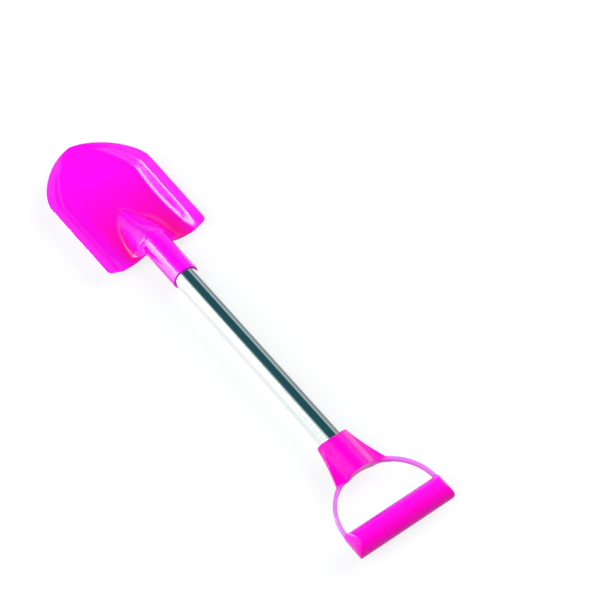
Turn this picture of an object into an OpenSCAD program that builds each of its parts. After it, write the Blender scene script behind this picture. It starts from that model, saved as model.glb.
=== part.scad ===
// Child's sand shovel: a moulded scoop and a moulded D-grip joined by a steel tube.
// X runs across the blade, +Y points to the blade's tip, +Z is up, and the shovel lies
// face up with its deepest point on z = 0. All lengths are in millimetres.

/* [Shaft tube] */
// Outside diameter of the steel tube
shaft_d = 18; // [14:0.5:22]
// Wall of the steel tube
shaft_wall = 0.6; // [0.4:0.1:1.2]
// Length of bare tube between the blade's socket and the handle's socket
shaft_show = 174; // [120:1:240]
// Length of tube held inside the blade's socket
blade_hold = 34; // [26:1:35]
// Length of tube held inside the handle's socket
handle_hold = 21; // [16:1:23]

/* [Sockets] */
// Wall of both moulded sockets
socket_wall = 1.4; // [1.1:0.1:2]
// Space between the tube and the sockets' bores, each side
tube_clear = 0.05; // [0.02:0.01:0.15]
// Length of the blade's socket behind the pan
socket_out = 36; // [30:1:44]

/* [Blade] */
// Width of the blade across its rim
blade_w = 88; // [78:1:100]
// Length of the pan from its rear edge to the tip
blade_l = 119; // [105:1:135]
// Wall of the pan
blade_t = 2; // [1.5:0.1:2.5]
// Depth of the pan below its rim
pan_depth = 12; // [9:0.5:14]
// Width of the flared lip along the sides
lip_w = 7.4; // [5:0.1:9]
// How far the lip falls towards the side walls
lip_drop = 4.2; // [2:0.1:5]
// How much narrower each side is at the rear edge than at the front
side_taper = 1; // [0:0.1:3]
// Length of the pointed front part of the outline
front_l = 43; // [34:1:52]
// Radius of the two rear corners
rear_corner_r = 2.5; // [1:0.1:5]
// Width of the raised spine where it leaves the rear edge
spine_w = 36; // [30:1:44]
// Length of the raised spine on the pan's floor
spine_l = 57; // [44:1:66]
// Height of the spine's sloping ridge line above the rim, where it meets the rear edge
spine_h = 5.2; // [3:0.1:6]
// Length over which the socket sinks into the spine
nose_l = 24; // [18:1:32]

/* [Handle] */
// Length of the yoke from its mouth to the hand opening
yoke_l = 29.5; // [27:0.5:36]
// Thickness of the yoke's two webs
web_t = 4; // [3:0.1:5]
// Width of the yoke where it meets the arch
yoke_w = 41; // [34:1:48]
// Radius of the hand opening
opening_r = 36.5; // [30:0.5:44]
// Thickness of the arch, in the plane of the grip
arch_t = 3; // [2.6:0.1:3.6]
// Depth of the arch, front to back
arch_depth = 4; // [3.8:0.1:6]
// Diameter of the grip bar
grip_d = 19; // [17:0.5:23]
// Radius of the grip bar's rounded ends
grip_end_r = 13; // [11:0.5:20]
// Width of the flat along the back of the grip bar
grip_flat = 10; // [8:0.5:12]
// Number of pockets in the back of the grip bar
pocket_count = 4; // [2:1:6]
// Wall between two pockets
pocket_rib = 1.8; // [1.2:0.1:3]
// Thickness of plastic left in front of the pockets
pocket_skin = 3.5; // [2.5:0.1:5]

/* [Screws] */
// Diameter of the screws' shanks
screw_d = 2.9; // [2.2:0.1:3.5]
// Diameter of the screws' heads
head_d = 5.6; // [4.5:0.1:6.5]
// Height of the screws' heads
head_h = 1.6; // [1.2:0.1:2.2]
// Length of the screws below their heads
screw_l = 6.5; // [5:0.5:8]
// Diameter of the bosses that the screws' heads sit on
boss_d = 8; // [7:0.5:10]
// Height of the bosses' flat faces over the round of the sockets
boss_h = 0.2; // [0.1:0.05:0.6]
// Space between the screws and their holes in the sockets, each side
screw_clear = 0.1; // [0.05:0.05:0.3]
// How much smaller than the screws their holes in the tube are, for the thread's bite
thread_bite = 0.3; // [0.1:0.05:0.5]

/* [Hidden] */
$fn = 96;

// One overrun serves every cut, and one overlap every union
over = 1;
lap = 0.4;

// Named parts of the sizes above
tube_r = shaft_d / 2;
bore_r = tube_r + tube_clear;
socket_r = bore_r + socket_wall;
rim_z = blade_t / 2;
axis_z = pan_depth - rim_z + blade_t;

// Places along Y, counted from the end of the blade's socket with the tip ahead
rear_y = socket_out;
tip_y = rear_y + blade_l;
mouth_y = -shaft_show;
ring_y = mouth_y - yoke_l - opening_r;
grip_set_share = 0.45;
grip_y = ring_y - grip_d * grip_set_share;
grip_end_y = grip_y - grip_d / 2;
middle_y = (tip_y + grip_end_y) / 2;
blade_screw_y = blade_hold / 2;
handle_screw_y = mouth_y - handle_hold / 2;

// Grip bar and its pockets
grip_back = sqrt(pow(grip_d / 2, 2) - pow(grip_flat / 2, 2));
pocket_w_share = 0.6;
pocket_w = grip_flat * pocket_w_share;
grip_proud = lap / 2;
grip_half = opening_r + arch_t + grip_proud;
pocket_run = 2 * opening_r - 2 * pocket_rib;
pocket_pitch = pocket_run / pocket_count;

// Socket mouth of the yoke: its front and back edges round back by this share of its
// radius. The closed end follows the hand opening, leaning out over it towards the front.
mouth_back_share = 0.35;
mouth_back = socket_r * mouth_back_share;
mouth_r = (pow(socket_r, 2) + pow(mouth_back, 2)) / (2 * mouth_back);
yoke_slant = 25;
yoke_gap = lap / 4;

// Screws: each head sits on a flat boss, and the thread bites only into the tube
boss_z = -socket_r - boss_h;

// Blade surfaces, over x and the distance y ahead of the rear edge
front_power = 1.58;
plan_power = 1.4;
plan_root = 0.6;
spine_power = 1.35;
spine_fade_power = 8;
sink_power = 1.5;
wall_slope = 2.2;
rear_ease_share = 0.4;
deep_share = 0.415;
rear_soft_share = 0.35;
rear_rise_share = 0.6;
rear_rise_l = nose_l / 3;
deep_y = blade_l * deep_share;
front_y = blade_l - front_l;
half_w = blade_w / 2;
lip_slope = lip_drop / lip_w;
lip_soft = blade_t;
foot_soft = 2 * blade_t;
crease_soft = blade_t;
rear_soft = 3 * blade_t;
rear_soft_l = spine_l * rear_soft_share;
nose_soft = 3 * blade_t;
nose_r = socket_r - socket_wall / 8;
nose_drop = socket_r + blade_t;
nose_steep = 6;
keel_l = socket_r;
sample = blade_t / 40;

// Shares of the half width and of the length at which the pan's surfaces are sampled
across_shares = [0, 0.06, 0.12, 0.17, 0.21, 0.25, 0.3, 0.35, 0.4, 0.46, 0.54, 0.61,
    0.66, 0.7, 0.74, 0.78, 0.82, 0.86, 0.9, 0.95, 1];
along_shares = [0, 0.008, 0.02, 0.05, 0.09, 0.13, 0.18, 0.23, 0.28, 0.33, 0.38, 0.43, 0.48,
    0.53, 0.58, 0.63, 0.68, 0.73, 0.78, 0.83, 0.87, 0.91, 0.945, 0.97, 0.988];

// Rounded maximum and minimum of two heights, soft over the length k
function soft_max(a, b, k) =
    let (h = max(k - abs(a - b), 0) / k)
    max(a, b) + h * h * k / 4;
function soft_min(a, b, k) = -soft_max(-a, -b, k);

// Half width of an outline with straight sides and a rounded point
function outline_half(y, w, l) =
    y < front_y ? w - side_taper * (1 - y / front_y)
    : w * pow(max(1 - pow((y - front_y) / l, front_power), 0), 1 / front_power);
function corner_cut(y) =
    y < rear_corner_r
    ? rear_corner_r - sqrt(pow(rear_corner_r, 2) - pow(rear_corner_r - y, 2))
    : 0;
function half_at(y) = outline_half(y, half_w, front_l) - corner_cut(y);
function inner_at(y) = max(outline_half(y, half_w - lip_w, front_l - lip_w / 2), sample);
function rear_at(y) = max(1 - max(y, 0) / rear_soft_l, 0);

// Floor, side walls and the lip that flares out from them, below the rim
function depth_at(y) = pan_depth * (1 - pow((y - deep_y) / (blade_l - deep_y), 2));
function lip_z(x, y) = -lip_slope * max(outline_half(y, half_w, front_l) - abs(x), 0);
function wall_z(x, y) =
    -lip_drop - wall_slope * (1 - rear_ease_share * rear_at(y)) * (inner_at(y) - abs(x));
function side_z(x, y) = soft_min(wall_z(x, y), lip_z(x, y), lip_soft);
function foot_at(y) = min(foot_soft * (1 + rear_at(y)), depth_at(y) + sample);
function floor_z(x, y) = rim_z + min(soft_max(-depth_at(y), side_z(x, y), foot_at(y)), 0);

// The spine: a straight ridge line down to the floor, lower again right at the rear edge
function spine_share(y) = min(max(y, 0) / spine_l, 1);
function spine_half(y) =
    spine_w / 2 * pow(1 - pow(spine_share(y), plan_power), plan_root) + sample;
function rear_step(y) =
    let (t = min(max(y, 0) / rear_rise_l, 1))
    rear_rise_share + (1 - rear_rise_share) * t * t * (3 - 2 * t);
function spine_rise(y) =
    let (t = spine_share(y))
    rear_step(y) * (spine_h * (1 - t) + depth_at(t * spine_l) - t * depth_at(spine_l));
function spine_z(x, y) =
    rim_z - depth_at(y) - crease_soft * pow(spine_share(y), spine_fade_power)
    + spine_rise(y) * (1 - pow(abs(x) / spine_half(y), spine_power));

// The sinking end of the socket and the keel under it
function nose_section(x) =
    sqrt(max(pow(nose_r, 2) - x * x, 0)) - nose_steep * max(abs(x) - nose_r, 0);
function nose_z(x, y) = nose_section(x) - nose_drop * pow(max(y, 0) / nose_l, sink_power);
function keel_z(x, y) = nose_section(x) - socket_r * pow(max(y, 0) / keel_l, sink_power);

// Upper and lower surfaces of the pan
function pan_z(x, y) =
    soft_max(floor_z(x, y), spine_z(x, y), crease_soft + rear_soft * rear_at(y));
function top_z(x, y) = soft_max(pan_z(x, y), nose_z(x, y), nose_soft);
function slope_x(x, y) = (pan_z(x + sample, y) - pan_z(x - sample, y)) / (2 * sample);
function slope_y(x, y) = (pan_z(x, y + sample) - pan_z(x, y - sample)) / (2 * sample);
function under_z(x, y) =
    pan_z(x, y) - blade_t * min(sqrt(1 + pow(slope_x(x, y), 2) + pow(slope_y(x, y), 2)), 2);
function bottom_z(x, y) = -soft_max(-under_z(x, y), keel_z(x, y), crease_soft);

// Columns from left to right, and the places of one row
columns = [for (i = [len(across_shares) - 1 : -1 : 1]) -across_shares[i], each across_shares];
function row(share) =
    let (y = share * blade_l)
    [for (c = columns) [c * half_at(y), y]];
plan = [for (s = along_shares) each row(s)];
n_across = len(columns);
n_along = len(along_shares);
n_plan = len(plan);

// The pan as one closed surface: top, bottom, rear edge, sides and the tip's fan
module pan() {
    top = [for (p = plan) [p[0], p[1], top_z(p[0], p[1])]];
    bottom = [for (p = plan) [p[0], p[1], bottom_z(p[0], p[1])]];
    tip = [[0, blade_l, rim_z], [0, blade_l, -rim_z]];
    last = (n_along - 1) * n_across;
    quads = [for (j = [0 : n_along - 2], i = [0 : n_across - 2])
        let (a = j * n_across + i) [a, a + 1, a + 1 + n_across, a + n_across]];
    faces = [
        for (q = quads) each [[q[0], q[2], q[1]], [q[0], q[3], q[2]]],
        for (q = quads) each [
            [n_plan + q[0], n_plan + q[1], n_plan + q[2]],
            [n_plan + q[0], n_plan + q[2], n_plan + q[3]]],
        for (i = [0 : n_across - 2]) each [
            [i, i + 1, n_plan + i + 1], [i, n_plan + i + 1, n_plan + i]],
        for (j = [0 : n_along - 2])
            let (a = j * n_across, b = a + n_across) each [
                [a, n_plan + a, b], [b, n_plan + a, n_plan + b]],
        for (j = [0 : n_along - 2])
            let (a = j * n_across + n_across - 1, b = a + n_across) each [
                [a, b, n_plan + a], [b, n_plan + b, n_plan + a]],
        for (i = [0 : n_across - 2]) each [
            [last + i, 2 * n_plan, last + i + 1],
            [n_plan + last + i, n_plan + last + i + 1, 2 * n_plan + 1]],
        [last, n_plan + last, 2 * n_plan], [2 * n_plan, n_plan + last, 2 * n_plan + 1],
        [last + n_across - 1, 2 * n_plan, n_plan + last + n_across - 1],
        [2 * n_plan, 2 * n_plan + 1, n_plan + last + n_across - 1]
    ];
    translate([0, rear_y, 0])
        polyhedron(points = concat(top, bottom, tip), faces = faces);
}

// Everything is drawn about the tube's axis and then set down on its lowest point
module placed() {
    translate([0, -middle_y, axis_z]) children();
}

// Cylinder along Y between two places
module along_y(r, y0, y1) {
    translate([0, y1, 0]) rotate([90, 0, 0]) cylinder(r = r, h = y1 - y0);
}

// Boss under a socket, and a screw's hole up to the tube's axis
module boss(y) {
    translate([0, y, boss_z]) cylinder(d = boss_d, h = boss_h + socket_r / 2);
}
module screw_hole(y, d) {
    translate([0, y, boss_z - over]) cylinder(d = d, h = -boss_z + over);
}
module socket_hole(y) { screw_hole(y, screw_d + 2 * screw_clear); }
module tube_hole(y) { screw_hole(y, screw_d - thread_bite); }

// Scoop: pan, spine and socket in one moulding
module blade() {
    color("magenta") placed() difference() {
        union() {
            pan();
            along_y(socket_r, 0, rear_y + lap);
            boss(blade_screw_y);
        }
        along_y(bore_r, -over, blade_hold);
        socket_hole(blade_screw_y);
    }
}

// Steel tube with a screw hole near each end
module shaft_tube() {
    color("gainsboro") placed() difference() {
        along_y(tube_r, mouth_y - handle_hold, blade_hold);
        along_y(tube_r - shaft_wall, mouth_y - handle_hold - over, blade_hold + over);
        tube_hole(blade_screw_y);
        tube_hole(handle_screw_y);
    }
}

// Section of the arch, with rounded front and back edges
module arch_section() {
    straight = (arch_depth - arch_t) / 2;
    square([arch_t, 2 * straight], center = true);
    for (side = [-1, 1]) translate([0, side * straight]) circle(d = arch_t);
}

// Half ring that closes the D, and its two legs down into the grip bar's ends
module arch() {
    middle_r = opening_r + arch_t / 2;
    translate([0, ring_y, 0]) {
        rotate_extrude(angle = 180) translate([middle_r, 0]) arch_section();
        for (side = [-1, 1]) translate([side * middle_r, 0, 0]) rotate([90, 0, 0])
            linear_extrude(ring_y - grip_y) arch_section();
    }
}

// Two flat webs between the socket and the arch
module webs() {
    foot_y = ring_y + sqrt(pow(opening_r + arch_t, 2) - pow(yoke_w / 2, 2));
    translate([0, 0, -web_t / 2]) linear_extrude(web_t) difference() {
        polygon([[-socket_r, mouth_y], [socket_r, mouth_y], [yoke_w / 2, foot_y],
            [0, ring_y], [-yoke_w / 2, foot_y]]);
        translate([0, ring_y]) circle(r = opening_r + lap);
    }
}

// Socket of the yoke: rounded back at its mouth, cut round the opening at its closed end
module yoke_socket() {
    difference() {
        union() {
            along_y(socket_r, ring_y + opening_r - 2 * socket_r, mouth_y);
            boss(handle_screw_y);
        }
        difference() {
            translate([-2 * socket_r, mouth_y - mouth_r, -2 * socket_r])
                cube([4 * socket_r, mouth_r + over, 4 * socket_r]);
            translate([-3 * socket_r, mouth_y - mouth_r, 0]) rotate([0, 90, 0])
                cylinder(r = mouth_r, h = 6 * socket_r);
        }
        translate([0, ring_y + opening_r + yoke_gap - opening_r / cos(yoke_slant), 0])
            rotate([yoke_slant, 0, 0]) cylinder(r = opening_r, h = 8 * socket_r, center = true);
    }
}

// Grip bar: a round bar with rounded ends, flat along its back and cored out from there
module grip() {
    end_x = grip_half - grip_end_r;
    translate([0, grip_y, 0]) difference() {
        intersection() {
            rotate([0, 90, 0]) cylinder(d = grip_d, h = 2 * grip_half + over, center = true);
            union() {
                cube([2 * end_x, 2 * grip_d, 2 * grip_d], center = true);
                for (side = [-1, 1]) translate([side * end_x, 0, 0]) rotate([90, 0, 0])
                    cylinder(r = grip_end_r, h = 2 * grip_d, center = true);
            }
        }
        translate([-grip_half - over, -grip_d / 2, -grip_d])
            cube([2 * (grip_half + over), grip_d, grip_d - grip_back]);
        for (k = [0 : pocket_count - 1])
            translate([-pocket_run / 2 + k * pocket_pitch + pocket_rib / 2, -pocket_w / 2,
                -grip_back - over])
                cube([pocket_pitch - pocket_rib, pocket_w,
                    grip_back + over + grip_d / 2 - pocket_skin]);
    }
}

// D-grip: socket, webs, arch and grip bar in one moulding
module handle() {
    color("magenta") placed() difference() {
        union() {
            yoke_socket();
            webs();
            arch();
            grip();
        }
        along_y(bore_r, mouth_y - handle_hold, mouth_y + over);
        socket_hole(handle_screw_y);
    }
}

// Self-tapping screw through a boss into the tube
module screw(y) {
    color("silver") placed() translate([0, y, boss_z]) {
        cylinder(d = screw_d, h = screw_l);
        translate([0, 0, -head_h]) cylinder(d = head_d, h = head_h);
    }
}
module blade_screw() { screw(blade_screw_y); }
module handle_screw() { screw(handle_screw_y); }

blade();
shaft_tube();
handle();
blade_screw();
handle_screw();
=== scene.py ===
"""Dresses the sand shovel: two fine plastic mouldings, a polished tube, and the photo's view."""
import math

import bpy
import numpy as np
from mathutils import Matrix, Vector


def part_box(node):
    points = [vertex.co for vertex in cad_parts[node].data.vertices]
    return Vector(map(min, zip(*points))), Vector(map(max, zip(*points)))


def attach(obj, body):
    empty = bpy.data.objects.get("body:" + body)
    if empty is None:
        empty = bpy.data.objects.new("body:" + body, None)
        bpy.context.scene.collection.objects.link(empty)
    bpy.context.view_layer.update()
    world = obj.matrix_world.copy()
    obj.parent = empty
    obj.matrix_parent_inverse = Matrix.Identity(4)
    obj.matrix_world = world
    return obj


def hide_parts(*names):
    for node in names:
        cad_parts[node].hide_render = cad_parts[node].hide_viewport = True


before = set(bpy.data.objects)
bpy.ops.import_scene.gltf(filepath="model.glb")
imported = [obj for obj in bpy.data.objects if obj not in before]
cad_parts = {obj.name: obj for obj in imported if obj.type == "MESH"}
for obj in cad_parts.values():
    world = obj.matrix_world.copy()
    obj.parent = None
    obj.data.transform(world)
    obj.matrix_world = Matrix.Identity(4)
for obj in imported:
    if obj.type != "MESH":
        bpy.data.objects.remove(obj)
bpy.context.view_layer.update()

MM = 0.001
TINY = 1e-9

# Meshes of the mouldings: cell sizes in millimetres, and the parts of a cell that slopes,
# normals and one settling move are taken over
BLADE_CELL = 0.7
HANDLE_CELL = 0.55
SLOPE_PARTS = 20
NORMAL_PARTS = 2
MOVE_PARTS = 3
SETTLE_MOVES = 5
LEAST_SLOPE = 1e-3

# The tube's axis and both mouldings' ends, read from the frame, in millimetres.
# The mouldings are worked out with the tube's axis as x = z = 0 and the blade socket's
# mouth as y = 0, and moved to their place in the frame at the end.
blade_low, blade_high = [np.array(corner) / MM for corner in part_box("blade")]
tube_low, tube_high = [np.array(corner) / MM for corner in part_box("shaft_tube")]
handle_low, handle_high = [np.array(corner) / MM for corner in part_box("handle")]
PLACE = np.array([0.0, blade_low[1], (tube_low[2] + tube_high[2]) / 2])
TUBE_R = (tube_high[0] - tube_low[0]) / 2
TIP_Y = blade_high[1] - PLACE[1]
HALF_W = blade_high[0]
BELLY_Z = blade_low[2] - PLACE[2]
SOCKET_R = handle_high[2] - PLACE[2]
MOUTH_Y = handle_high[1] - PLACE[1]
GRIP_END_Y = handle_low[1] - PLACE[1]
GRIP_HALF = handle_high[0]

# Sockets, and the flat bosses under them
BORE_GAP = 0.05
BLADE_HOLD = tube_high[1] - PLACE[1]
HANDLE_HOLD = handle_high[1] - tube_low[1]
MOUTH_ROUND = 0.35
BOSS_R = 4.0
BOSS_H = 0.2
BOSS_Z = -SOCKET_R - BOSS_H
BOSS_SOFT = 0.6
SCREW_HOLE_R = 1.55

# In all that follows, a value named SOFT is the width of the blend where two surfaces meet.
# Blade: shell and outline
REAR_Y = 36.0
WALL = 2.0
RIM_Z = 1.0
PAN_DEPTH = RIM_Z - WALL - BELLY_Z
PAN_L = TIP_Y - REAR_Y
FRONT_L = 43.0
FRONT_POWER = 1.58
SIDE_TAPER = 1.0
REAR_CORNER_R = 2.5
EDGE_R = 0.75

# Blade: the lip slopes down from the rim, then the wall, steeper, to the floor.
# OVER and REACH are how far past their own edges these surfaces are still worked out.
LIP_W = 7.4
LIP_DROP = 4.2
LIP_SOFT = 2.0
LIP_OVER = 1.0
WALL_SLOPE = 2.2
WALL_OVER = 8.0
SIDE_REACH = 30.0
DEEP_SHARE = 0.415
REAR_EASE = 0.4
REAR_SOFT_L = 20.0
REAR_OVER = 2.0
FOOT_SOFT = 7.0
THIN = 0.05

# Blade: the spine, a long tent that fades to a point in the floor
SPINE_HALF = 18.0
SPINE_L = 57.0
SPINE_TOP = 6.2
SPINE_POWER = 1.35
SPINE_POINT_POWER = 1.4
SPINE_SIDE_POWER = 0.6
SPINE_FADE_POWER = 8
SPINE_CUT = 9
SPINE_REAR_SHARE = 0.6
SPINE_REAR_L = 8.0
CREASE_SOFT = 1.2
REAR_CREASE_GAIN = 2

# Blade: the socket runs on as a nose that sinks into the spine, and as a keel underneath
NOSE_L = 24.0
NOSE_DROP = 12.3
NOSE_SOFT = 12.0
NOSE_REAR_SOFT = 1.2
NOSE_SOFT_L = 6.0
KEEL_SOFT = 1.5
SINK_POWER = 1.5
FADE_LEAST = 0.01

# Blade: the shell's thickness allows for the upper surface's slope, up to STEEPEST
SLOPE_STEP = 0.1
STEEPEST = 2

# Handle: the yoke runs from the socket's mouth to the arch
YOKE_L = 29.5
YOKE_HALF = 20.5
YOKE_SLANT = math.radians(25)
YOKE_GAP = 0.1
YOKE_EDGE_R = 0.5
MOUTH_BACK = 3.66
WEB_T = 4.0
WEB_EDGE_R = 0.7
WEB_SOFT = 7.0
OPENING_R = 36.5
ARCH_T = 3.0
ARCH_DEPTH = 4.0
ARCH_ROUND_SHARE = 0.45
ARCH_SOFT = 1.0
GRIP_R = 9.5
GRIP_BACK = -8.08
GRIP_BACK_R = 0.8
GRIP_SOFT = 0.8
END_R = 13.0
END_EDGE_R = 1.0
RING_Y = MOUTH_Y - YOKE_L - OPENING_R
FOOT_Y = RING_Y + math.sqrt((OPENING_R + ARCH_T) ** 2 - YOKE_HALF ** 2)
GRIP_Y = GRIP_END_Y + GRIP_R
POCKETS = 4
POCKET_RIB = 1.8
POCKET_W = 6.0
POCKET_SKIN = 3.5
POCKET_R = 0.8
POCKET_RIM_R = 0.3

# Tints, each a share from 0 to 1. FADE and HEIGHT are what a tint changes over, and the other
# values say where, all in millimetres but SHADE_FULL and YOKE_DEEP, which are shares.
# Painted shade, a deeper pink: on the pan's floor beside the spine, and on the grip's lower
# side. YOKE_DEEP is an even deeper pink on the yoke.
SHADE_HEIGHT = 2.5
SHADE_FULL = 1.2
SHADE_MIDDLE_X = 4.0
SHADE_HALF = 31.0
SHADE_FADE = 9.0
SHADE_END_Y = 85.0
SHADE_END_FADE = 75.0
GRIP_SHADE_Y = 5.0
GRIP_SHADE_FADE = 20.0
YOKE_DEEP = 0.45

# Painted highlight, a paler pink: the thin arch, beyond the webs' feet
GLARE_EDGE = 0.5
GLARE_END_FADE = 2.0
GLARE_FOOT_FADE = 4.0

# Duller plastic: the left of the yoke, and under the grip
DULL_SIDE_FADE = 2.0
DULL_FOOT_FADE = 3.0
DULL_GRIP_Y = 1.0
DULL_GRIP_FADE = 5.0

# Colours, as linear red, green and blue
PINK_LOW = (1.0, 0.001, 0.78, 1)
PINK_HIGH = (1.0, 0.001, 0.86, 1)
# Painted shade, also the yoke's even deeper pink
PINK_DEEP_AND_SHADE = (1.0, 0.0, 0.33, 1)
# Painted highlight on the thin arch
PINK_GLARE = (0.80, 0.20, 0.82, 1)
STEEL_LOW = (0.80, 0.86, 0.86, 1)
STEEL_HIGH = (0.88, 0.91, 0.90, 1)
ZINC_LOW = (0.52, 0.54, 0.55, 1)
ZINC_HIGH = (0.70, 0.72, 0.72, 1)
FLOOR_GREY = (0.22, 0.22, 0.22, 1)
FLOOR_LIFT = 0.78

# The world's colour around the shovel's axis, by degrees from straight up towards +X
SKY = ((-95, (0.80, 0.90, 0.87)), (-50, (0.90, 0.98, 0.97)), (-34, (0.60, 0.72, 0.72)),
       (-24, (0.02, 0.09, 0.11)), (37, (0.02, 0.08, 0.10)), (45, (0.42, 0.52, 0.56)),
       (54, (0.50, 0.56, 0.56)), (62, (0.24, 0.28, 0.28)), (100, (0.40, 0.40, 0.40)))

# The photo's camera and the studio: the lens in millimetres, the rest in metres
SENSOR_W = 36
LENS = 117.2
CAMERA_AT = Vector((-0.4471, -0.6846, 1.1354))
CAMERA_AIM = Vector((0.0538, -0.0143, 0.0130))
FLOOR_HALF = 6
FLOOR_Z = -0.00005
FILL_SIZE = 2.2


def soft_max(a, b, k):
    """Larger of two fields, blended over the width k."""
    h = np.maximum(k - np.abs(a - b), 0) / k
    return np.maximum(a, b) + h * h * k / 4


def soft_min(a, b, k):
    """Smaller of two fields, blended over the width k: a fillet between two solids."""
    return -soft_max(-a, -b, k)


def round_max(a, b, r):
    """What two solids share, with their common edge rounded to the radius r."""
    return np.minimum(np.maximum(a, b), -r) + np.hypot(np.maximum(a + r, 0), np.maximum(b + r, 0))


def surface_from(field, low, high, cell):
    """Points and quads of the zero surface of a field of x, y, z: one point in each cut cell."""
    axes = [np.arange(lo - 1.5 * cell, hi + 1.5 * cell, cell) for lo, hi in zip(low, high)]
    x, y, z = np.meshgrid(*axes, indexing="ij")
    value = field(x.ravel(), y.ravel(), z.ravel()).reshape(x.shape)
    inside = value < 0
    corners = [(i, j, k) for i in (0, 1) for j in (0, 1) for k in (0, 1)]
    cut = [slice(None, -1), slice(1, None)]
    count = sum(inside[cut[i], cut[j], cut[k]].astype(int) for i, j, k in corners)
    mixed = (count > 0) & (count < 8)
    index = np.full(mixed.shape, -1)
    index[mixed] = np.arange(mixed.sum())
    cells = np.argwhere(mixed)
    total = np.zeros((len(cells), 3))
    hits = np.zeros(len(cells))
    pairs = [(a, b) for a in corners for b in corners if sum(b) - sum(a) == 1
             and all(q >= p for p, q in zip(a, b))]
    for a, b in pairs:
        va = value[tuple((cells + a).T)]
        vb = value[tuple((cells + b).T)]
        crossed = (va < 0) != (vb < 0)
        t = np.where(crossed, va / np.where(crossed, va - vb, 1), 0)[:, None]
        point = np.array(a) + t * (np.array(b) - np.array(a))
        total += np.where(crossed[:, None], point, 0)
        hits += crossed
    origin = np.array([axis[0] for axis in axes])
    points = origin + (cells + total / hits[:, None]) * cell
    quads = []
    for axis in range(3):
        u, v = [k for k in range(3) if k != axis]
        step = np.zeros(3, int)
        step[axis] = 1
        here = np.argwhere(np.take(inside, range(inside.shape[axis] - 1), axis)
                           != np.take(inside, range(1, inside.shape[axis]), axis))
        here = here[(here[:, u] > 0) & (here[:, v] > 0)]
        du, dv = np.eye(3, dtype=int)[u], np.eye(3, dtype=int)[v]
        ring = [index[tuple((here - a).T)] for a in (0 * du, du, du + dv, dv)]
        quad = np.stack(ring, axis=1)
        flip = inside[tuple(here.T)] ^ (axis == 1)
        quad[~flip] = quad[~flip][:, ::-1]
        quads.append(quad)
    return settle(field, points, cell), np.concatenate(quads)


def slope(field, points, h):
    """Gradient of a field at points, taken over h to each side."""
    grad = np.empty_like(points)
    for k in range(3):
        ahead, behind = points.copy(), points.copy()
        ahead[:, k] += h
        behind[:, k] -= h
        grad[:, k] = (field(*ahead.T) - field(*behind.T)) / (2 * h)
    return grad


def settle(field, points, cell):
    """Moves points onto the zero surface, by a small part of a cell at a time."""
    for _ in range(SETTLE_MOVES):
        grad = slope(field, points, cell / SLOPE_PARTS)
        size2 = np.maximum((grad ** 2).sum(axis=1), LEAST_SLOPE)
        move = -grad * (field(*points.T) / size2)[:, None]
        reach = np.linalg.norm(move, axis=1, keepdims=True)
        points = points + move * np.minimum(1, cell / MOVE_PARTS / np.maximum(reach, TINY))
    return points


def make_piece(name, field, tints, low, high, cell, node, material):
    """Meshes a field, tints its points, rides it on the body and lets it stand for a node."""
    points, quads = surface_from(field, low, high, cell)
    points = np.clip(points, low, high)
    normals = slope(field, points, cell / NORMAL_PARTS)
    normals /= np.maximum(np.linalg.norm(normals, axis=1, keepdims=True), TINY)
    mesh = bpy.data.meshes.new(name)
    mesh.from_pydata(((points + PLACE) * MM).tolist(), [], quads.tolist())
    mesh.validate()
    mesh.polygons.foreach_set("use_smooth", [True] * len(mesh.polygons))
    mesh.normals_split_custom_set_from_vertices(normals.tolist())
    for tint, share in tints(*points.T).items():
        layer = mesh.attributes.new(tint, "FLOAT", "POINT")
        layer.data.foreach_set("value", np.clip(share, 0, 1))
    mesh.materials.append(material)
    piece = bpy.data.objects.new(name, mesh)
    bpy.context.scene.collection.objects.link(piece)
    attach(piece, "root")
    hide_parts(node)


def outline_width(y, w, l):
    """Half width of the pan's outline at y, measured from its rear edge."""
    front_y = PAN_L - FRONT_L
    side = w - SIDE_TAPER * (1 - y / front_y)
    ahead = np.clip((y - front_y) / l, 0, 1)
    return np.where(y < front_y, side, w * (1 - ahead ** FRONT_POWER) ** (1 / FRONT_POWER))


def outline(x, y):
    """Distance outside the pan's outline, measured from its rear edge."""
    front_y = PAN_L - FRONT_L
    ahead = np.maximum(y - front_y, 0) / FRONT_L
    across = np.abs(x) / HALF_W
    u = np.maximum(across ** FRONT_POWER + ahead ** FRONT_POWER, 1e-6)
    g = u ** (1 / FRONT_POWER) - 1
    scale = u ** (1 / FRONT_POWER - 1)
    gx = scale * across ** (FRONT_POWER - 1) / HALF_W
    gy = scale * ahead ** (FRONT_POWER - 1) / FRONT_L
    front = g / np.maximum(np.hypot(gx, gy), LEAST_SLOPE)
    side = np.abs(x) - (HALF_W - SIDE_TAPER * (1 - y / front_y))
    side = np.where(y < front_y, side, front)
    return round_max(side, -y, REAR_CORNER_R)


def depth_at(y):
    """Depth of the pan's floor below its rim."""
    return PAN_DEPTH * (1 - ((y / PAN_L - DEEP_SHARE) / (1 - DEEP_SHARE)) ** 2)


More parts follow.
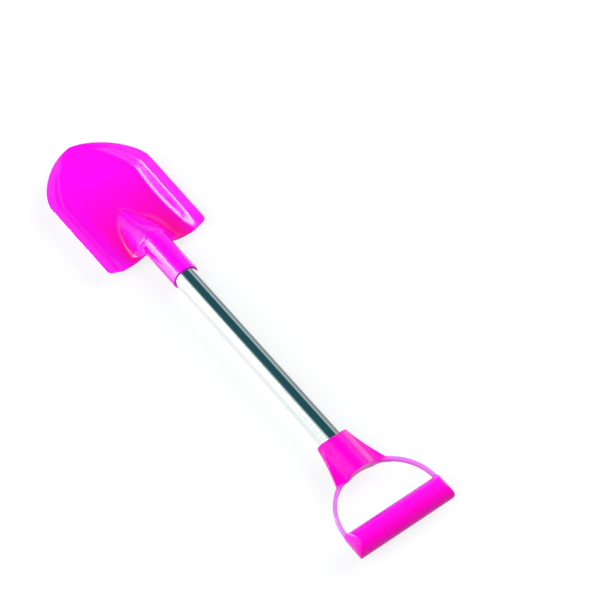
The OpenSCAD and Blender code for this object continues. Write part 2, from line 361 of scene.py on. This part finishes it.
def pan_top(x, y):
    """Height of the pan's upper surface: floor, side walls, flared lip and spine."""
    depth = depth_at(np.clip(y, -REAR_OVER, PAN_L))
    rear = np.clip(1 - y / REAR_SOFT_L, 0, 1)
    outer = outline_width(y, HALF_W, FRONT_L)
    inner = np.maximum(outline_width(y, HALF_W - LIP_W, FRONT_L - LIP_W / 2), THIN)
    lip = -LIP_DROP / LIP_W * np.clip(outer - np.abs(x), -LIP_OVER, SIDE_REACH)
    steep = WALL_SLOPE * (1 - REAR_EASE * rear)
    wall = -LIP_DROP - steep * np.clip(inner - np.abs(x), -WALL_OVER, SIDE_REACH)
    side = soft_min(wall, lip, LIP_SOFT)
    foot = np.minimum(FOOT_SOFT * (1 + rear), depth + THIN)
    floor = RIM_Z + np.minimum(soft_max(-depth, side, foot), 0)
    along = np.clip(y, 0, SPINE_L) / SPINE_L
    half = SPINE_HALF * (1 - along ** SPINE_POINT_POWER) ** SPINE_SIDE_POWER + THIN
    end_z = RIM_Z - depth_at(SPINE_L)
    step = np.clip(y / SPINE_REAR_L, 0, 1)
    share = SPINE_REAR_SHARE + (1 - SPINE_REAR_SHARE) * step * step * (3 - 2 * step)
    rise = (SPINE_TOP - RIM_Z + depth_at(along * SPINE_L) - (SPINE_TOP - end_z) * along) * share
    fade = CREASE_SOFT * along ** SPINE_FADE_POWER
    fall = np.minimum((np.abs(x) / half) ** SPINE_POWER, SPINE_CUT)
    spine = RIM_Z - depth - fade + rise * (1 - fall)
    return soft_max(floor, spine, CREASE_SOFT * (1 + REAR_CREASE_GAIN * rear))


def blade_field(x, y, z):
    """The scoop: a shell under pan_top, the socket, its sinking nose and its keel."""
    py = y - REAR_Y
    h = SLOPE_STEP
    gx = (pan_top(x + h, py) - pan_top(x - h, py)) / (2 * h)
    gy = (pan_top(x, py + h) - pan_top(x, py - h)) / (2 * h)
    above = (z - pan_top(x, py)) / np.minimum(np.sqrt(1 + gx ** 2 + gy ** 2), STEEPEST)
    below = -above - WALL
    pan = round_max(np.maximum(above, below), outline(x, py), EDGE_R)
    ahead = np.maximum(py, 0)
    nose = np.hypot(x, z + NOSE_DROP * (ahead / NOSE_L) ** SINK_POWER) - SOCKET_R
    nose = np.maximum(nose, np.maximum(below, -y))
    lift = SOCKET_R * (ahead / SOCKET_R) ** SINK_POWER
    keel = np.maximum(np.hypot(x, z - lift) - SOCKET_R, np.maximum(above, -y))
    fillet = NOSE_REAR_SOFT + (NOSE_SOFT - NOSE_REAR_SOFT) * np.clip(py / NOSE_SOFT_L, 0, 1)
    fillet *= np.clip(1 + above / WALL, FADE_LEAST, 1)
    under_fillet = KEEL_SOFT * np.clip(-above / WALL, FADE_LEAST, 1)
    shape = np.minimum(soft_min(pan, nose, fillet), soft_min(pan, keel, under_fillet))
    boss_y = BLADE_HOLD / 2
    shape = add_boss(shape, x, y, z, boss_y)
    bore = np.maximum(np.hypot(x, z) - TUBE_R - BORE_GAP, y - BLADE_HOLD)
    shape = round_max(shape, -y, MOUTH_ROUND)
    shape = round_max(shape, -bore, MOUTH_ROUND / 2)
    return screw_hole(shape, x, y, z, boss_y)


def add_boss(shape, x, y, z, boss_y):
    """Adds the flat boss under a socket."""
    boss = round_max(np.hypot(x, y - boss_y) - BOSS_R, BOSS_Z - z, MOUTH_ROUND)
    return soft_min(shape, np.maximum(boss, z + SOCKET_R / 2), BOSS_SOFT)


def screw_hole(shape, x, y, z, boss_y):
    """Cuts a screw's hole up to the tube's axis."""
    hole = np.maximum(np.hypot(x, y - boss_y) - SCREW_HOLE_R, z)
    return np.maximum(shape, -hole)


def handle_field(x, y, z):
    """The D-grip: socket, webs, arch with its legs, and the grip bar."""
    mouth_r = (SOCKET_R ** 2 + MOUTH_BACK ** 2) / (2 * MOUTH_BACK)
    mouth = np.hypot(np.maximum(y - (MOUTH_Y - mouth_r), 0), z) - mouth_r
    end = OPENING_R + YOKE_GAP - np.hypot(x, y - RING_Y + z * math.tan(YOKE_SLANT))
    end = np.maximum(end, RING_Y - y) * math.cos(YOKE_SLANT)
    socket = round_max(np.hypot(x, z) - SOCKET_R, end, YOKE_EDGE_R)
    lean = math.atan2(YOKE_HALF - SOCKET_R, MOUTH_Y - FOOT_Y)
    outer = (np.abs(x) - SOCKET_R) * math.cos(lean) - (MOUTH_Y - y) * math.sin(lean)
    radial = np.hypot(x, y - RING_Y)
    web = np.maximum(outer, np.maximum(OPENING_R - radial, y - MOUTH_Y))
    web = np.maximum(web, RING_Y - y)
    web = round_max(web, np.abs(z) - WEB_T / 2, WEB_EDGE_R)
    ring = np.where(y > RING_Y, radial, np.abs(x)) - OPENING_R - ARCH_T / 2
    arch_round = ARCH_T * ARCH_ROUND_SHARE
    across = np.abs(ring) - ARCH_T / 2 + arch_round
    deep = np.abs(z) - ARCH_DEPTH / 2 + arch_round
    arch = np.minimum(np.maximum(across, deep), 0) - arch_round
    arch += np.hypot(np.maximum(across, 0), np.maximum(deep, 0))
    arch = np.maximum(arch, GRIP_Y - y)
    bar = np.hypot(y - GRIP_Y, z) - GRIP_R
    ends = np.hypot(np.maximum(np.abs(x) - GRIP_HALF + END_R, 0), z) - END_R
    grip = round_max(bar, ends, END_EDGE_R)
    grip = round_max(grip, GRIP_BACK - z, GRIP_BACK_R)
    shape = soft_min(soft_min(socket, web, WEB_SOFT), arch, ARCH_SOFT)
    shape = round_max(shape, mouth, MOUTH_ROUND)
    shape = soft_min(shape, grip, GRIP_SOFT)
    run = 2 * OPENING_R - 2 * POCKET_RIB
    pitch = run / POCKETS
    cell_x = np.abs((x + run / 2) % pitch - pitch / 2)
    pocket = np.maximum(cell_x - pitch / 2 + POCKET_RIB / 2, np.abs(x) - run / 2)
    pocket = round_max(pocket, np.abs(y - GRIP_Y) - POCKET_W / 2, POCKET_R)
    pocket = np.maximum(pocket, z - GRIP_R + POCKET_SKIN)
    shape = round_max(shape, -pocket, POCKET_RIM_R)
    boss_y = MOUTH_Y - HANDLE_HOLD / 2
    shape = add_boss(shape, x, y, z, boss_y)
    bore = np.maximum(np.hypot(x, z) - TUBE_R - BORE_GAP, MOUTH_Y - HANDLE_HOLD - y)
    shape = round_max(shape, -bore, MOUTH_ROUND / 2)
    return screw_hole(shape, x, y, z, boss_y)


def blade_tints(x, y, z):
    """Painted shade: the pan's floor is a deeper pink towards its rear edge, beside the spine."""
    py = y - REAR_Y
    floor = RIM_Z - depth_at(np.clip(py, 0, PAN_L))
    low = np.clip(SHADE_FULL - (pan_top(x, py) - floor) / SHADE_HEIGHT, 0, 1)
    low *= np.clip((SHADE_HALF - np.abs(x - SHADE_MIDDLE_X)) / SHADE_FADE, 0, 1)
    low *= np.clip((SHADE_END_Y - py) / SHADE_END_FADE, 0, 1) * np.clip(py + REAR_OVER, 0, 1)
    return {"deep": low, "pale": 0 * x, "dull": 0 * x}


def handle_tints(x, y, z):
    """Painted shade: the grip's lower side deeper pink. Painted highlight: the thin arch paler.

    The left of the yoke and the lower side of the grip are duller.
    """
    radial = np.where(y > RING_Y, np.hypot(x, y - RING_Y), np.abs(x))
    # Painted shade on the grip's lower side; above the grip, an even deeper pink on the yoke
    deep = np.where(y < GRIP_Y + GRIP_R, (GRIP_Y + GRIP_SHADE_Y - y) / GRIP_SHADE_FADE, YOKE_DEEP)
    # Painted highlight: the arch's outer side is paler, standing in for its shine
    off_grip = np.clip((y - GRIP_Y - GRIP_R) / GLARE_END_FADE, 0, 1)
    pale = np.clip((radial - OPENING_R + GLARE_EDGE) * off_grip, 0, 1)
    pale *= np.clip((FOOT_Y - y) / GLARE_FOOT_FADE, 0, 1)
    left = np.clip(-x / DULL_SIDE_FADE, 0, 1)
    yoke = np.clip((y - FOOT_Y + DULL_FOOT_FADE) / DULL_FOOT_FADE, 0, 1)
    under = np.clip((GRIP_Y - y - DULL_GRIP_Y) / DULL_GRIP_FADE, 0, 1)
    return {"deep": deep * (1 - pale), "pale": pale, "dull": np.maximum(left * yoke, under)}


def nodes_of(name):
    """A new node material, with its nodes, its links and its Principled shader."""
    material = bpy.data.materials.new(name)
    material.use_nodes = True
    tree = material.node_tree
    return material, tree.nodes, tree.links, tree.nodes["Principled BSDF"]


def noise(nodes, links, scale, detail, stretch=(1, 1, 1)):
    """Noise over the object's own coordinates, in metres."""
    where = nodes.new("ShaderNodeTexCoord")
    mapping = nodes.new("ShaderNodeMapping")
    mapping.inputs["Scale"].default_value = stretch
    texture = nodes.new("ShaderNodeTexNoise")
    texture.inputs["Scale"].default_value = scale
    texture.inputs["Detail"].default_value = detail
    links.new(where.outputs["Object"], mapping.inputs["Vector"])
    links.new(mapping.outputs["Vector"], texture.inputs["Vector"])
    return texture.outputs["Fac"]


def spread(nodes, links, source, low, high, bottom=0.3, top=0.7):
    """Maps a source to low and high from bottom and top, by default the middle of a noise."""
    span = nodes.new("ShaderNodeMapRange")
    span.inputs["From Min"].default_value = bottom
    span.inputs["From Max"].default_value = top
    span.inputs["To Min"].default_value = low
    span.inputs["To Max"].default_value = high
    links.new(source, span.inputs["Value"])
    return span.outputs["Result"]


def bump(nodes, links, source, distance, strength, below=None):
    """A bump of a height in metres, on top of another bump if there is one."""
    node = nodes.new("ShaderNodeBump")
    node.inputs["Distance"].default_value = distance
    node.inputs["Strength"].default_value = strength
    links.new(source, node.inputs["Height"])
    if below is not None:
        links.new(below, node.inputs["Normal"])
    return node.outputs["Normal"]


def carried(nodes, tint):
    """A tint that the mesh's points carry."""
    share = nodes.new("ShaderNodeAttribute")
    share.attribute_name = tint
    return share.outputs["Fac"]


def mixed(nodes, links, factor, low, high):
    """Mixes two colours; low can be a colour or the output of another mix."""
    mix = nodes.new("ShaderNodeMix")
    mix.data_type = "RGBA"
    if isinstance(low, tuple):
        mix.inputs["A"].default_value = low
    else:
        links.new(low, mix.inputs["A"])
    mix.inputs["B"].default_value = high
    links.new(factor, mix.inputs["Factor"])
    return mix.outputs["Result"]


def plastic(name):
    """Semi-gloss moulded plastic: faint orange peel, cloudy pigment and rubbed spots."""
    material, nodes, links, shader = nodes_of(name)
    cloud = noise(nodes, links, scale=35, detail=3)
    cloudy = spread(nodes, links, cloud, low=0, high=1)
    colour = mixed(nodes, links, cloudy, PINK_LOW, PINK_HIGH)
    # Painted shade: the carried deep share turns the pink redder in hollows and under the grip
    colour = mixed(nodes, links, carried(nodes, "deep"), colour, PINK_DEEP_AND_SHADE)
    # Painted highlight: the carried pale share makes the thin arch paler
    colour = mixed(nodes, links, carried(nodes, "pale"), colour, PINK_GLARE)
    links.new(colour, shader.inputs["Base Color"])
    rub = noise(nodes, links, scale=160, detail=4)
    links.new(spread(nodes, links, rub, low=0.14, high=0.22), shader.inputs["Roughness"])
    dull = carried(nodes, "dull")
    shine = spread(nodes, links, dull, low=0.5, high=0.12, bottom=0, top=1)
    links.new(shine, shader.inputs["Specular IOR Level"])
    peel = noise(nodes, links, scale=900, detail=2)
    wave = noise(nodes, links, scale=60, detail=1)
    normal = bump(nodes, links, wave, distance=0.0002, strength=0.12)
    normal = bump(nodes, links, peel, distance=0.00003, strength=0.08, below=normal)
    links.new(normal, shader.inputs["Normal"])
    shader.inputs["Subsurface Weight"].default_value = 0.12
    shader.inputs["Subsurface Radius"].default_value = (1.0, 0.2, 0.8)
    shader.inputs["Subsurface Scale"].default_value = 0.002
    shader.inputs["IOR"].default_value = 1.45
    return material


def steel(name):
    """Polished tube: near-mirror metal with fine lengthwise draw lines."""
    material, nodes, links, shader = nodes_of(name)
    shader.inputs["Metallic"].default_value = 1
    lines = noise(nodes, links, scale=700, detail=3, stretch=(1, 0.02, 1))
    drawn = spread(nodes, links, lines, low=0, high=1)
    colour = mixed(nodes, links, drawn, STEEL_LOW, STEEL_HIGH)
    links.new(colour, shader.inputs["Base Color"])
    links.new(spread(nodes, links, lines, low=0.05, high=0.12), shader.inputs["Roughness"])
    normal = bump(nodes, links, lines, distance=0.00001, strength=0.15)
    links.new(normal, shader.inputs["Normal"])
    return material


def zinc(name):
    """Plated screw: grey metal with a mottled, slightly dull plating."""
    material, nodes, links, shader = nodes_of(name)
    shader.inputs["Metallic"].default_value = 1
    mottle = noise(nodes, links, scale=1500, detail=3)
    mottled = spread(nodes, links, mottle, low=0, high=1)
    colour = mixed(nodes, links, mottled, ZINC_LOW, ZINC_HIGH)
    links.new(colour, shader.inputs["Base Color"])
    links.new(spread(nodes, links, mottle, low=0.25, high=0.4), shader.inputs["Roughness"])
    return material


def add_camera():
    """The photo's view: a long lens, looking down across the shovel from behind its grip."""
    data = bpy.data.cameras.new("camera")
    data.sensor_width = SENSOR_W
    data.lens = LENS
    camera = bpy.data.objects.new("camera", data)
    bpy.context.scene.collection.objects.link(camera)
    camera.location = CAMERA_AT
    camera.rotation_euler = (CAMERA_AIM - CAMERA_AT).to_track_quat("-Z", "Y").to_euler()
    bpy.context.scene.camera = camera


def add_floor():
    """A plain white floor, just under the shovel, that keeps its soft shadow."""
    mesh = bpy.data.meshes.new("floor")
    half = FLOOR_HALF
    mesh.from_pydata([(-half, -half, 0), (half, -half, 0), (half, half, 0), (-half, half, 0)],
                     [], [(0, 1, 2, 3)])
    floor = bpy.data.objects.new("floor", mesh)
    floor.location.z = FLOOR_Z
    bpy.context.scene.collection.objects.link(floor)
    material, nodes, links, shader = nodes_of("floor")
    shader.inputs["Base Color"].default_value = FLOOR_GREY
    shader.inputs["Roughness"].default_value = 1
    shader.inputs["Specular IOR Level"].default_value = 0
    shader.inputs["Emission Color"].default_value = (1, 1, 1, 1)
    path = nodes.new("ShaderNodeLightPath")
    seen = nodes.new("ShaderNodeMath")
    seen.operation = "MAXIMUM"
    lift = nodes.new("ShaderNodeMath")
    lift.operation = "MULTIPLY"
    lift.inputs[1].default_value = FLOOR_LIFT
    links.new(path.outputs["Is Camera Ray"], seen.inputs[0])
    links.new(path.outputs["Is Glossy Ray"], seen.inputs[1])
    links.new(seen.outputs["Value"], lift.inputs[0])
    links.new(lift.outputs["Value"], shader.inputs["Emission Strength"])
    mesh.materials.append(material)


def add_strip(name, angle, distance, middle, width, length, radiance, tilt=None):
    """A light strip along the shovel, seen only in its shines.

    The angle is its place around the tube in degrees, as in SKY. The strip faces the tube, unless
    tilt gives its own turn.
    """
    data = bpy.data.lights.new(name, "AREA")
    data.shape = "RECTANGLE"
    data.size = width
    data.size_y = length
    data.energy = radiance * math.pi * width * length
    light = bpy.data.objects.new(name, data)
    bpy.context.scene.collection.objects.link(light)
    turn = math.radians(angle)
    light.location = (math.sin(turn) * distance, middle, math.cos(turn) * distance)
    light.rotation_euler = (0, turn if tilt is None else math.radians(tilt), 0)
    light.visible_camera = False
    light.visible_diffuse = False


def add_fill(name, place, radiance):
    """A wide soft light on the shovel, kept out of the shines."""
    data = bpy.data.lights.new(name, "AREA")
    data.size = FILL_SIZE
    data.energy = radiance * math.pi * data.size ** 2
    light = bpy.data.objects.new(name, data)
    bpy.context.scene.collection.objects.link(light)
    light.location = place
    light.rotation_euler = (-light.location).to_track_quat("-Z", "Y").to_euler()
    light.visible_camera = False
    light.visible_glossy = False


def add_world():
    """A pale studio around the shovel with a dim ceiling, which its shines show."""
    world = bpy.data.worlds.new("studio")
    bpy.context.scene.world = world
    world.use_nodes = True
    nodes, links = world.node_tree.nodes, world.node_tree.links
    where = nodes.new("ShaderNodeTexCoord")
    split = nodes.new("ShaderNodeSeparateXYZ")
    angle = nodes.new("ShaderNodeMath")
    angle.operation = "ARCTAN2"
    turn = nodes.new("ShaderNodeMapRange")
    turn.inputs["From Min"].default_value = -math.pi
    turn.inputs["From Max"].default_value = math.pi
    ramp = nodes.new("ShaderNodeValToRGB")
    links.new(where.outputs["Generated"], split.inputs["Vector"])
    links.new(split.outputs["X"], angle.inputs[0])
    links.new(split.outputs["Z"], angle.inputs[1])
    links.new(angle.outputs["Value"], turn.inputs["Value"])
    links.new(turn.outputs["Result"], ramp.inputs["Fac"])
    ramp.color_ramp.elements.remove(ramp.color_ramp.elements[1])
    for count, (degrees, colour) in enumerate(SKY):
        place = (degrees + 180) / 360
        if count == 0:
            element = ramp.color_ramp.elements[0]
            element.position = place
        else:
            element = ramp.color_ramp.elements.new(place)
        element.color = (*colour, 1)
    links.new(ramp.outputs["Color"], nodes["Background"].inputs["Color"])


bpy.context.scene.view_settings.view_transform = "Standard"
plastic_look = plastic("magenta_plastic")
steel_look = steel("polished_steel")
zinc_look = zinc("screw_steel")
make_piece("scoop", blade_field, blade_tints, (-HALF_W, 0, BELLY_Z), (HALF_W, TIP_Y, SOCKET_R),
           BLADE_CELL, "blade", plastic_look)
make_piece("d_grip", handle_field, handle_tints, (-GRIP_HALF, GRIP_END_Y, BOSS_Z),
           (GRIP_HALF, MOUTH_Y, SOCKET_R), HANDLE_CELL, "handle", plastic_look)
for node, look in (("shaft_tube", steel_look), ("blade_screw", zinc_look),
                   ("handle_screw", zinc_look)):
    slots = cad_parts[node].data.materials
    slots.clear()
    slots.append(look)
add_camera()
add_floor()
add_world()
add_strip("key_strip", angle=-56, distance=1.2, middle=1.125, width=0.32, length=1.25, radiance=18)
add_strip("low_strip", angle=-78.5, distance=1.3, middle=1.06, width=0.75, length=0.88, radiance=8)
add_strip("floor_strip", angle=-89.9, distance=0.66, middle=0.71, width=1.26, length=1.3,
          radiance=4.2, tilt=180)
add_fill("right_fill", place=(2.0, 0.0, 1.6), radiance=3.6)
add_fill("left_fill", place=(-1.7, -0.5, 1.8), radiance=2.9)
